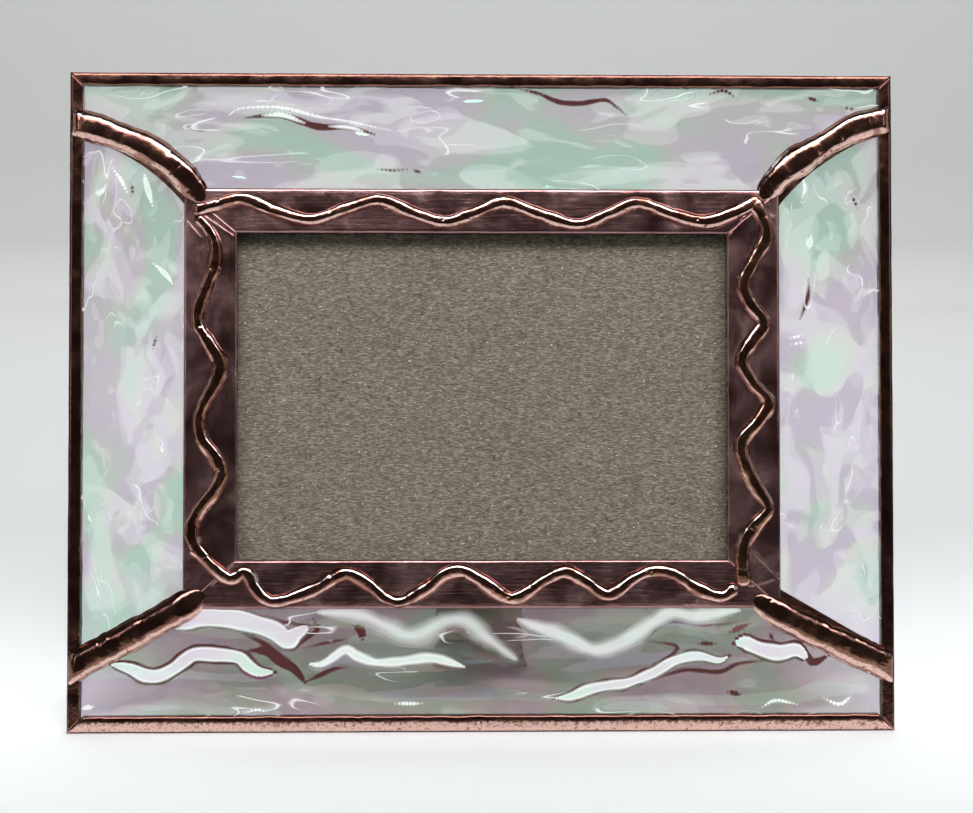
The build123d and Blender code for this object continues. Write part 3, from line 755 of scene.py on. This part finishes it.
def wavy_glass_points(side):
    """Fine front grid and coarse back grid of one glass, and the white and dark masks of its front."""
    level = side in ("top", "bottom")
    edges = front_edges(f"glass_{side}")
    axis = 1 if level else 0
    low, high = edges[..., axis].min(), edges[..., axis].max()
    across_step, along_step = STEP[side]
    tiny = 1e-4
    rows = np.linspace(low + tiny, high - tiny, 2 * int((high - low) / across_step / 2) + 1)
    spans = np.array([span(edges, axis, at) for at in rows])
    count = 2 * int((spans[:, 1] - spans[:, 0]).max() / along_step / 2) + 1
    share = np.linspace(0, 1, count)
    other = spans[:, :1] + (spans[:, 1:] - spans[:, :1]) * share
    at = np.repeat(rows[:, None], count, 1)
    x, z = (other, at) if level else (at, other)
    along, across = (x, z) if level else (z, x)
    to_edge = np.minimum.reduce([at - low, high - at, other - spans[:, :1], spans[:, 1:] - other])
    fade = smooth_step(TAPE_LAP * 0.8, TAPE_LAP + 6, to_edge)
    wave = WAVES[side]
    white, dark, lift = streaks(x, z, GLINTS[side], 991), streaks(x, z, MAROON[side], 990), 0
    if side == "bottom":
        bands, edges_dark, lift = band_fields(x, z)
        white = np.maximum(white, bands)
        dark = np.maximum(dark, edges_dark)
    relief = np.clip(wave_relief(along, across, **wave) + lift - 0.1, -0.6, 0.6)
    back_wave = dict(wave, depth=BACK_DEPTH[side], width=8, seed=wave["seed"] + 100)
    back = GLASS_T + fade * wave_relief(along, across, **back_wave)
    masks = np.clip([white, dark], -STEEP, STEEP)
    return np.stack([x, -fade * relief, z], -1), np.stack([x, back, z], -1)[::2, ::2], masks


def border(rows, columns, first):
    """The points round a grid's border, in order."""
    index = first + np.arange(rows * columns).reshape(rows, columns)
    return np.concatenate([index[0], index[1:, -1], index[-1, -2::-1], index[-2:0:-1, 0]])


def closed_plate(front, back):
    """A plate from a fine front grid and a back grid with every second point, as points and faces."""
    points = np.concatenate([front.reshape(-1, 3), back.reshape(-1, 3)])
    size = front[..., 0].size
    fine, coarse = border(*front.shape[:2], 0), border(*back.shape[:2], size)
    wall = []
    for k in range(len(coarse)):
        after, fine_after = coarse[(k + 1) % len(coarse)], fine[(2 * k + 2) % len(fine)]
        wall.append((fine[2 * k], coarse[k], after, fine_after, fine[2 * k + 1]))
    return points, [*grid_faces(*front.shape[:2]), *grid_faces(*back.shape[:2], size, flip=True), *wall]


# %% Make the glasses
def outward(piece):
    """Turns every face of a closed piece outward."""
    shape = bmesh.new()
    shape.from_mesh(piece.data)
    bmesh.ops.recalc_face_normals(shape, faces=shape.faces)
    shape.to_mesh(piece.data)
    shape.free()
    return piece


def store(piece, name, values):
    """Keeps one number for each point of the piece, for its material."""
    layer = piece.data.attributes.new(name, "FLOAT", "POINT")
    layer.data.foreach_set("value", np.resize(values, len(piece.data.vertices)).astype(np.float32))


for side in SIDES:
    front, back, masks = wavy_glass_points(side)
    points, faces = closed_plate(front, back)
    glass = add_piece(f"wavy_glass_{side}", points, faces, wavy_glass[side],
                      replaces=[f"glass_{side}"])
    outward(glass)
    for name, mask in zip(("white_band", "dark_edge"), masks):
        store(glass, name, np.concatenate([mask.ravel(), np.full(len(points) - mask.size, -STEEP)]))
    slope = np.gradient(front[..., 1], STEP[side][0], axis=0)
    print(glass.name, len(points), "points, relief", round(float(np.ptp(front[..., 1])), 2), "mm, slopes",
          np.percentile(slope, (2, 20, 80, 98)).round(2))

# %% [markdown]
# ## Beads of solder
#
# A bead is drawn by the iron's tip moving along a line. Its section is a dome that wets the metal beside it,
# so it ends in a small hollow foot and not in a sharp corner. The tip never moves evenly: width, height and
# crown wander, the skin has shallow dents, and here and there flux has left a pit. One function sweeps such a
# section along any line, and that is enough for the wavy beads and for all the seams.

# %% A bead along a line
BEAD_SECTION = [(-1.07, 0), (-1.03, 0.04), (-0.99, 0.13), (-0.94, 0.3), (-0.86, 0.55), (-0.76, 0.74),
    (-0.62, 0.89), (-0.45, 0.965), (-0.24, 0.992), (0, 1), (0.24, 0.992), (0.45, 0.965), (0.62, 0.89),
    (0.76, 0.74), (0.86, 0.55), (0.94, 0.3), (0.99, 0.13), (1.03, 0.04), (1.07, 0)]
SINK = 0.08  # the bead's underside lies this far inside what it sits on
PIT_DEPTH, PIT_WIDTH = 0.28, 0.34
SIDE_GAP, ROLL_OFF = 0.3, 2.4  # a seam ends this far from the panel's side, and sinks over this length


def bead(line, base_y, half_width, rise, seed, facing=-1, uneven=1.0, pits=0, step=0.4, cut_start=False):
    """Points and faces of a bead; facing is -1 on the front and 1 on the back."""
    path, travelled = smooth_line(line, step)
    total = travelled[-1]
    heading = np.gradient(path, axis=0)
    heading /= np.linalg.norm(heading, axis=1, keepdims=True)
    sideways = np.stack([-heading[:, 1], heading[:, 0]], 1)
    to_end = total - travelled if cut_start else np.minimum(travelled, total - travelled)
    end = np.clip(to_end / (half_width * (2.2 if cut_start else 1)), 0, 1)
    round_off = np.sqrt(1 - (1 - end) ** 2)
    swell = 0.20 * wander(travelled / 9, 0.5, seed) + 0.10 * wander(travelled / 2.6, 0.5, seed + 1)
    width = half_width * (1 + uneven * swell)
    lumps = 0.26 * wander(travelled / 10, 0.5, seed + 2) + 0.05 * wander(travelled / 2.8, 0.5, seed + 3)
    height = rise * (1 + uneven * lumps)
    width *= np.maximum(round_off, 0.03)
    height *= 0.12 + 0.88 * round_off
    if cut_start:
        height *= 0.35 + 0.65 * smooth_step(0, 12, total - travelled)
    crown = 0.35 * uneven * wander(travelled / 12, 0.5, seed + 4)
    section = np.array(BEAD_SECTION)
    u = section[:, 0] + crown[:, None] * (1 - np.clip(np.abs(section[:, 0]), 0, 1) ** 2)
    place = path[:, None] + sideways[:, None] * (u * width[:, None])[..., None]
    lift = section[:, 1] * height[:, None]
    dents = 0.05 * wander(place[..., 0] / 3.2, place[..., 1] / 3.2, seed + 5)
    dents += 0.02 * wander(place[..., 0] / 1.1, place[..., 1] / 1.1, seed + 6)
    chooser = np.random.default_rng(seed)
    for _ in range(pits):
        row, column = chooser.integers(5, len(path) - 5), chooser.integers(3, len(section) - 3)
        apart = np.linalg.norm(place - place[row, column], axis=-1)
        dents -= PIT_DEPTH * np.exp(-(apart / PIT_WIDTH) ** 2)
    lift = lift + dents * np.minimum(section[:, 1] * 4, 1)
    y = base_y + facing * lift - facing * SINK * (section[:, 1] == 0)
    inset = HALF_W - SIDE_GAP - np.abs(place[..., 0])
    y = y - facing * lift * (1 - np.sqrt(np.clip(inset / ROLL_OFF, 0, 1)))
    x = np.clip(place[..., 0], 0.5 - HALF_W, HALF_W - 0.5)
    points = np.stack([x, y, place[..., 1]], -1).reshape(-1, 3)
    return points, loop_faces(len(path), len(section))


def loop_faces(rings, size):
    """Faces between closed rings of points, with a cap at each end."""
    faces = []
    for ring in range(rings - 1):
        a, b = ring * size, (ring + 1) * size
        faces += [(a + k, a + (k + 1) % size, b + (k + 1) % size, b + k) for k in range(size)]
    return [*faces, tuple(range(size - 1, -1, -1)), tuple(range((rings - 1) * size, rings * size))]


def add_bead(name, *args, replaces, metal=solder, **kwargs):
    points, faces = bead(*args, **kwargs)
    return outward(add_piece(name, points, faces, metal, replaces=replaces))


# %% [markdown]
# ### The four wavy beads on the strips
#
# Each wave was drawn freehand, so no two swings are alike. The line of each bead is a short list of places
# that the iron passed, and the swings between them are smooth.

# %% Wavy beads
FACE_Y = panel_box("strip_face_top")[0][1]
WAVY_LINES = {
    "top": [(-86.9, 155.3), (-80.5, 156.6), (-71.5, 158.9), (-61, 155.2), (-50.9, 152.7), (-41, 156.2),
        (-31.4, 158.7), (-21, 155), (-11.3, 152.1), (-3, 154.8), (6.2, 158.1), (17, 154.6),
        (28.3, 151.4), (38, 154.8), (46.6, 158), (57, 154.6), (66.9, 152.4), (75, 155), (83.5, 159.6)],
    "right": [(81, 159.4), (84.2, 154.1), (85.3, 148.2), (81.2, 140.5), (78.2, 133.8), (80.8, 127.5),
        (84.3, 122.3), (81.1, 117), (77.9, 111), (81, 104.5), (85.8, 98.4), (82.7, 92.6), (77.8, 86.2),
        (79, 79), (82.4, 72.4), (85.7, 66.5), (81.6, 61), (78.2, 55.6), (77.6, 49), (78.4, 43)],
    "bottom": [(-86.6, 55.6), (-80.6, 49.2), (-75.2, 45.6), (-70.7, 47.4), (-67.8, 43), (-65, 39.8),
        (-60.6, 38.8), (-49.7, 42.6), (-45.1, 45.4), (-40, 47), (-33.5, 43.4), (-28.6, 39.8),
        (-24, 38.9), (-16.6, 42.7), (-11.5, 46.6), (-6.3, 47.8), (-1.2, 45.5), (8.8, 39.5),
        (18.8, 45.3), (24.8, 47.5), (31, 44.4), (37.5, 40.8), (45.2, 45.6), (50.9, 47.7), (57.3, 46.9),
        (64.8, 42.1), (71.4, 40.2), (76.2, 43.2)],
    "left": [(-85.9, 153.9), (-82, 149.6), (-79.9, 145), (-80.2, 139.1), (-82.5, 132.5), (-85.2, 123),
        (-81.4, 115.4), (-78.4, 109.7), (-79.6, 104.4), (-83.1, 97.8), (-84.6, 92.3), (-83.2, 86.4),
        (-79.4, 81.2), (-78, 76.6), (-80.2, 71.2), (-84.4, 65.9), (-86.6, 60.7), (-85.4, 55.6),
        (-81.6, 50.6)],
}
for number, side in enumerate(SIDES):
    piece = add_bead(f"wavy_bead_{side}", WAVY_LINES[side], FACE_Y, 2.05 if side != "right" else 2.2, 1.45,
                     200 + 10 * number, uneven=1.4, pits=9, replaces=[f"ripple_bead_{side}"],
                     metal=solder if side in ("top", "bottom") else upright_solder)
    print(piece.name, "passes", len(WAVY_LINES[side]), "places")

# %% [markdown]
# ### The corner seams, front and back
#
# The two upper seams bow upward and the two lower ones are straight. At the front the solder is built up into
# high beads; at the back it is left low so that the frame lies flat.

# %% Corner seams
FRONT_FOIL = panel_box("foil_top")[0][1]
BACK_FOIL = panel_box("foil_top")[1][1]
SEAM_LINES = {
    "top_left": [(-124.5, 182), (-121, 181.4), (-115.3, 179.9), (-107.7, 177.3), (-100.1, 174),
        (-94.4, 170.3), (-89.4, 165.7), (-85.6, 160.9), (-83.6, 157.6)],
    "top_right": [(124.5, 184.2), (120.5, 183.2), (112.5, 181), (106.5, 177.9), (99.1, 173.5),
        (91.9, 168.6), (86.9, 163.3), (83.9, 159)],
    "bottom_left": [(-124.8, 17.8), (-120.6, 20.2), (-111, 25.2), (-99, 31.7), (-87.6, 38.2),
        (-82.4, 41.6)],
    "bottom_right": [(124.8, 18), (120.5, 19.8), (112, 23.6), (102.5, 28.2), (89.4, 34.7), (81, 39.6)],
}
for number, corner in enumerate(CORNERS):
    line = SEAM_LINES[corner]
    half_width = 4.1 if "top" in corner else 4.4
    metal = solder if "top" in corner else low_seam_solder
    add_bead(f"front_seam_{corner}", line, FRONT_FOIL, half_width, 2.0, 300 + 10 * number, uneven=0.9,
             pits=5, cut_start=True, replaces=[f"front_seam_{corner}"], metal=metal)
    add_bead(f"back_seam_{corner}", line[:-1], BACK_FOIL, 3.0, 0.78, 350 + 10 * number, facing=1,
             pits=4, cut_start=True, replaces=[f"back_seam_{corner}"])
print("eight corner seams")

# %% [markdown]
# ### The seams round the strips, at the back
#
# Behind, the strips join the glass with four low, straight seams. They use the same bead.

# %% Back ring
for number, side in enumerate(SIDES):
    low, high = panel_box(f"back_ring_seam_{side}")
    if side in ("top", "bottom"):
        middle = (low[2] + high[2]) / 2
        ends = [(low[0] + 1.5, middle), (0, middle), (high[0] - 1.5, middle)]
    else:
        middle = (low[0] + high[0]) / 2
        ends = [(middle, low[2] + 1.5), (middle, (low[2] + high[2]) / 2), (middle, high[2] - 1.5)]
    add_bead(f"back_ring_seam_{side}", ends, BACK_FOIL, 2.85, 0.58, 400 + 10 * number, facing=1, uneven=0.7,
             pits=8, step=0.6, replaces=[f"back_ring_seam_{side}"])

# %% [markdown]
# ## The rim
#
# Round the panel the tape is folded over the edge and covered with solder on all three sides. Its section is
# a hollow C with a rounded nose. The four sides are mitred, so each point of the section starts further along
# the side the deeper it lies.

# %% Rim
RIM_SECTION = [(4, -0.16), (3.94, -0.36), (3.78, -0.51), (3.42, -0.58), (2.2, -0.61), (1, -0.61),
    (0.36, -0.57), (0.1, -0.38), (0.02, 0.2), (0, 1.1), (0, 1.9), (0.05, 2.6), (0.2, 3.14),
    (0.52, 3.44), (1.1, 3.58), (2.2, 3.61), (3.42, 3.58), (3.78, 3.51), (3.94, 3.36), (4, 3.16),
    (0.9, 3.1), (0.9, -0.1)]


def inside_cad(points):
    """Moves points that wandered under, over or in front of the CAD model back to its bounds."""
    floor, ceiling, front = cad_bounds[0][2], cad_bounds[1][2], cad_bounds[0][1]
    height = to_world(points)[:, 2]
    points[:, 2] -= (height - np.clip(height, floor, ceiling)) / MM / UP.z
    points[:, 1] += np.maximum(front - to_world(points)[:, 1], 0) / MM / BACK.y
    return points


def rim_side(side, seed):
    """One mitred side of the rim."""
    length = 2 * HALF_W if side in ("top", "bottom") else PANEL_H
    section = np.array(RIM_SECTION)
    if side == "bottom":
        section[:, 0] *= 1.22
        section[-2:, 0] = 0.9
        section[3:8, 1] = (-0.66, -0.53, -0.40, -0.28, -0.04)
    deep, y = section[:, 0], section[:, 1]
    rings = int(length / 0.7)
    share = np.linspace(0, 1, rings)[:, None]
    along = deep + (length - 2 * deep) * share
    wobble = 0.32 * wander(along / 7, y / 4, seed) + 0.16 * wander(along / 1.9, y / 2, seed + 1)
    outer = np.isin(np.arange(len(deep)), range(1, 19))
    skin = 0.035 * wander(along / 2.4, y, seed + 2) + 0.07 * wander(along / 14, y, seed + 3)
    depth = deep + np.where(deep > 1.0, wobble, 0.10 + 0.10 * wander(along / 9, 0.5, seed + 4)) * outer
    front = np.where(y < GLASS_T / 2, -1.0, 1.0)
    across = y + front * skin * outer * (deep > 0.2)
    along = np.broadcast_to(along, across.shape)
    if side == "bottom":
        x, z = along - HALF_W, depth
    elif side == "top":
        x, z = HALF_W - along, PANEL_H - depth
    elif side == "left":
        x, z = depth - HALF_W, length - along
    else:
        x, z = HALF_W - depth, along
    points = np.stack([x, across, z], -1).reshape(-1, 3)
    return inside_cad(points), loop_faces(rings, len(section))


for number, side in enumerate(SIDES):
    points, faces = rim_side(side, 500 + 10 * number)
    metal = low_rim_solder if side == "bottom" else rim_solder
    outward(add_piece(f"rim_solder_{side}", points, faces, metal, replaces=[f"rim_{side}"]))
print("four sides of the rim, with", len(RIM_SECTION), "points in the section")

# %% [markdown]
# ## The flat soldered band
#
# Each strip's face is a thin skin of solder with soft edges, mitred at the corners, where the tape of one
# strip laps over the next and leaves fine creases. The skin is a grid: its height is flat solder, plus slow
# noise, plus a low ridge along each crease, and it rolls off at both edges.

# %% Flat band
outer_x, outer_top = panel_box("strip_face_top")[1][[0, 2]]
window_top = panel_box("strip_face_top")[0][2]
outer_bottom, window_bottom = panel_box("strip_face_bottom")[0][2], panel_box("strip_face_bottom")[1][2]
window_x = panel_box("strip_face_right")[0][0]
CREASES = [((-84.6, 154.4), (-74.6, 147.6)), ((-88.9, 152.4), (-84.4, 147.2)),
           ((82.3, 157.8), (88.2, 152.6)), ((83.6, 156.2), (86.6, 149.6)), ((81.2, 53.4), (88.4, 46)),
           ((80.1, 43.4), (88.9, 45.9)), ((-88.8, 41.4), (-82.6, 38.6)), ((-80.4, 44.4), (-73.8, 50.6)),
           ((74.4, 148), (80.2, 155.6)), ((-62.5, 37), (-60.2, 40.6)), ((61, 37.2), (64.2, 39.6))]

CREASE_H, CREASE_W = 0.16, 0.3


def crease_height(x, z):
    height = np.zeros_like(x)
    for (x0, z0), (x1, z1) in CREASES:
        run = np.array([x1 - x0, z1 - z0])
        share = np.clip(((x - x0) * run[0] + (z - z0) * run[1]) / (run @ run), 0, 1)
        apart = np.hypot(x - x0 - share * run[0], z - z0 - share * run[1])
        height += CREASE_H * np.exp(-(apart / CREASE_W) ** 2)
    return height


def band_side(side):
    inner = {"top": window_top, "bottom": window_bottom, "left": -window_x, "right": window_x}[side]
    outer = {"top": outer_top, "bottom": outer_bottom, "left": -outer_x, "right": outer_x}[side]
    level = side in ("top", "bottom")
    ends_in = (-window_x, window_x) if level else (window_bottom, window_top)
    ends_out = (-outer_x, outer_x) if level else (outer_bottom, outer_top)
    wide = abs(outer - inner)
    middle = np.arange(1.3, wide - 1.3, 0.42)
    edge = np.array([0, 0.06, 0.2, 0.45, 0.85])
    middle = middle[:len(middle) // 2 * 2 - 1]
    across = np.concatenate([edge, middle, wide - edge[::-1]])
    roll = np.array([0.42, 0.27, 0.14, 0.05, 0.012])
    drop = np.concatenate([roll, 0 * middle, roll[::-1]])
    share = across / wide
    start = ends_in[0] + (ends_out[0] - ends_in[0]) * share
    stop = ends_in[1] + (ends_out[1] - ends_in[1]) * share
    rows = 2 * int((ends_out[1] - ends_out[0]) / 0.55 / 2) + 1
    t = np.linspace(0, 1, rows)[:, None]
    along = start + (stop - start) * t
    place = np.broadcast_to(inner + (outer - inner) * share, along.shape)
    x, z = (along, place) if level else (place, along)
    uneven = 0.07 * wander(x / 9, z / 9, 61) + 0.025 * wander(x / 2.3, z / 2.3, 62)
    flat = smooth_step(0, 1, np.minimum(across, wide - across))
    y = FACE_Y + drop - (uneven + crease_height(x, z)) * flat
    top = np.stack([x, y, z], -1)
    under = top[::2, ::2].copy()
    under[..., 1] = FRONT_FOIL + SINK
    return closed_plate(top, under)


for side in SIDES:
    points, faces = band_side(side)
    kind = "level" if side in ("top", "bottom") else "upright"
    piece = outward(add_piece(f"flat_band_{side}", points, faces, flat_solder[kind],
                              replaces=[f"strip_face_{side}"]))
    print(piece.name, len(points), "points")

# %% [markdown]
# ## Finish the CAD pieces that keep their shape
#
# Tape, strip glass, pane, board, channels, hinge and leg are already right. They only need their material,
# which goes into each object's slots.

# %% Paint the CAD pieces
def paint(node, material):
    piece = nodes[node]
    piece.data.materials.clear()
    piece.data.materials.append(material)


for side in SIDES:
    paint(f"foil_{side}", foil_copper)
    paint(f"strip_foil_{side}", foil_copper)
    paint(f"strip_core_{side}", core_glass)
paint("window_pane", pane_glass)
paint("picture_board", greyboard)
for node in ("channel_left", "channel_right", "leg", "leg_knuckle", "knuckle_left", "knuckle_right"):
    paint(node, dark_brass)
for node in ("channel_bottom", "brace"):
    paint(node, level_brass)
paint("hinge_pin", pin_brass)
for node in ("hinge_solder", "leg_hinge_solder", "brace_joints"):
    paint(node, solder)

# %% [markdown]
# ## Table, backdrop and light
#
# The stage is one sheet: a pale table that bends up into a wall far behind. Its colour holds painted light
# and
# shade: the table is brightest just in front of the frame's foot and darker behind it, and the wall is
# painted darker than the table. A big soft lamp overhead and a little in front gives the white line along
# each bead, the pale table gives the salmon line under it, both helped by the highlight and reflection
# painted into the solder, and a dim room in front keeps the middle of the metal dark. Two tall side lamps put
# soft shapes in the glass.

# %% Stage
TABLE_FRONT, WALL_Y, WALL_TOP, HALF_STAGE = -3.0, 1.16, 2.2, 2.4
BEND = 0.13  # radius between table and wall
# Painted light and shade on the table, from front to back: brightest just in front of the frame's foot,
# darker behind it.
TABLE_LIGHT_AND_SHADE = [(0.0, (0.70, 0.725, 0.73)), (0.20, (0.75, 0.78, 0.785)), (0.246, (0.93, 0.96, 0.97)),
               (0.45, (0.66, 0.69, 0.70)), (1.0, (0.80, 0.815, 0.81))]  # from front to back
# The wall is painted darker than the table, as painted shade.
WALL_SHADE = (0.62, 0.63, 0.63)


def stage_sheet():
    turn = np.linspace(0.1, math.pi / 2, 16)
    depth = np.concatenate([np.linspace(TABLE_FRONT, WALL_Y - BEND, 8), WALL_Y - BEND + BEND * np.sin(turn),
                            np.full(6, WALL_Y)])
    height = np.concatenate([np.zeros(8), BEND - BEND * np.cos(turn), np.linspace(BEND + 0.1, WALL_TOP, 6)])
    points = [(x, y, z) for y, z in zip(depth, height) for x in (-HALF_STAGE, HALF_STAGE)]
    mesh = bpy.data.meshes.new("stage")
    mesh.from_pydata(points, [], grid_faces(len(depth), 2).tolist())
    mesh.shade_smooth()
    sheet = bpy.data.objects.new("stage", mesh)
    bpy.context.scene.collection.objects.link(sheet)
    return sheet


def make_stage_material():
    m = Maker("stage")
    place = m.add("ShaderNodeSeparateXYZ", {0: m.add("ShaderNodeTexCoord").outputs["Object"]}).outputs
    table = m.ramp(m.spread(place["Y"], 0, 1, -0.30, 0.90), TABLE_LIGHT_AND_SHADE)
    colour = m.mix(m.spread(place["Z"], 0, 1, 0.0, 0.05), table, WALL_SHADE)
    m.finish(Base_Color=colour, Roughness=0.65, Specular_IOR_Level=0.2)
    return m.material


stage = stage_sheet()
stage.data.materials.append(make_stage_material())

# %% Lamps
def lamp(name, place, target, size, power):
    data = bpy.data.lights.new(name, "AREA")
    data.shape = "RECTANGLE"
    data.size, data.size_y = size
    data.energy = power
    thing = bpy.data.objects.new(name, data)
    thing.location = place
    thing.rotation_euler = (Vector(target) - Vector(place)).to_track_quat("-Z", "Y").to_euler()
    bpy.context.scene.collection.objects.link(thing)


def radiant(size, brightness):
    """Watts for an area lamp whose face has the given brightness."""
    return brightness * math.pi * size[0] * size[1]


PANEL_MIDDLE = (0, 0.02, 0.10)
LAMPS = {  # place, size, brightness
    "key": ((0.10, -0.85, 1.08), (1.5, 0.50), 8.6),
    "high_back": ((0, 0.62, 1.25), (1.8, 0.5), 2.2),
    "front_left": ((-0.82, -1.02, 0.52), (0.26, 0.50), 1.5),
    "front_right": ((0.84, -0.98, 0.58), (0.26, 0.50), 1.3),
    "side_left": ((-1.15, -0.25, 0.45), (0.3, 0.7), 0.8),
    "side_right": ((1.15, -0.25, 0.45), (0.3, 0.7), 0.8),
}
for name, (place, size, brightness) in LAMPS.items():
    lamp(name, place, PANEL_MIDDLE, size, radiant(size, brightness))
lamp("wall_wash", (0, 0.45, 1.3), (0, WALL_Y, 0.5), (1.8, 0.3), 5.5)
ROOM_TONE = (0.040, 0.038, 0.038, 1)
world = bpy.data.worlds.new("room")
world.use_nodes = True
world.node_tree.nodes["Background"].inputs["Color"].default_value = ROOM_TONE
world.node_tree.nodes["Background"].inputs["Strength"].default_value = 1.0
bpy.context.scene.world = world
bpy.context.scene.view_settings.view_transform = "Standard"
print(len(LAMPS) + 1, "lamps")
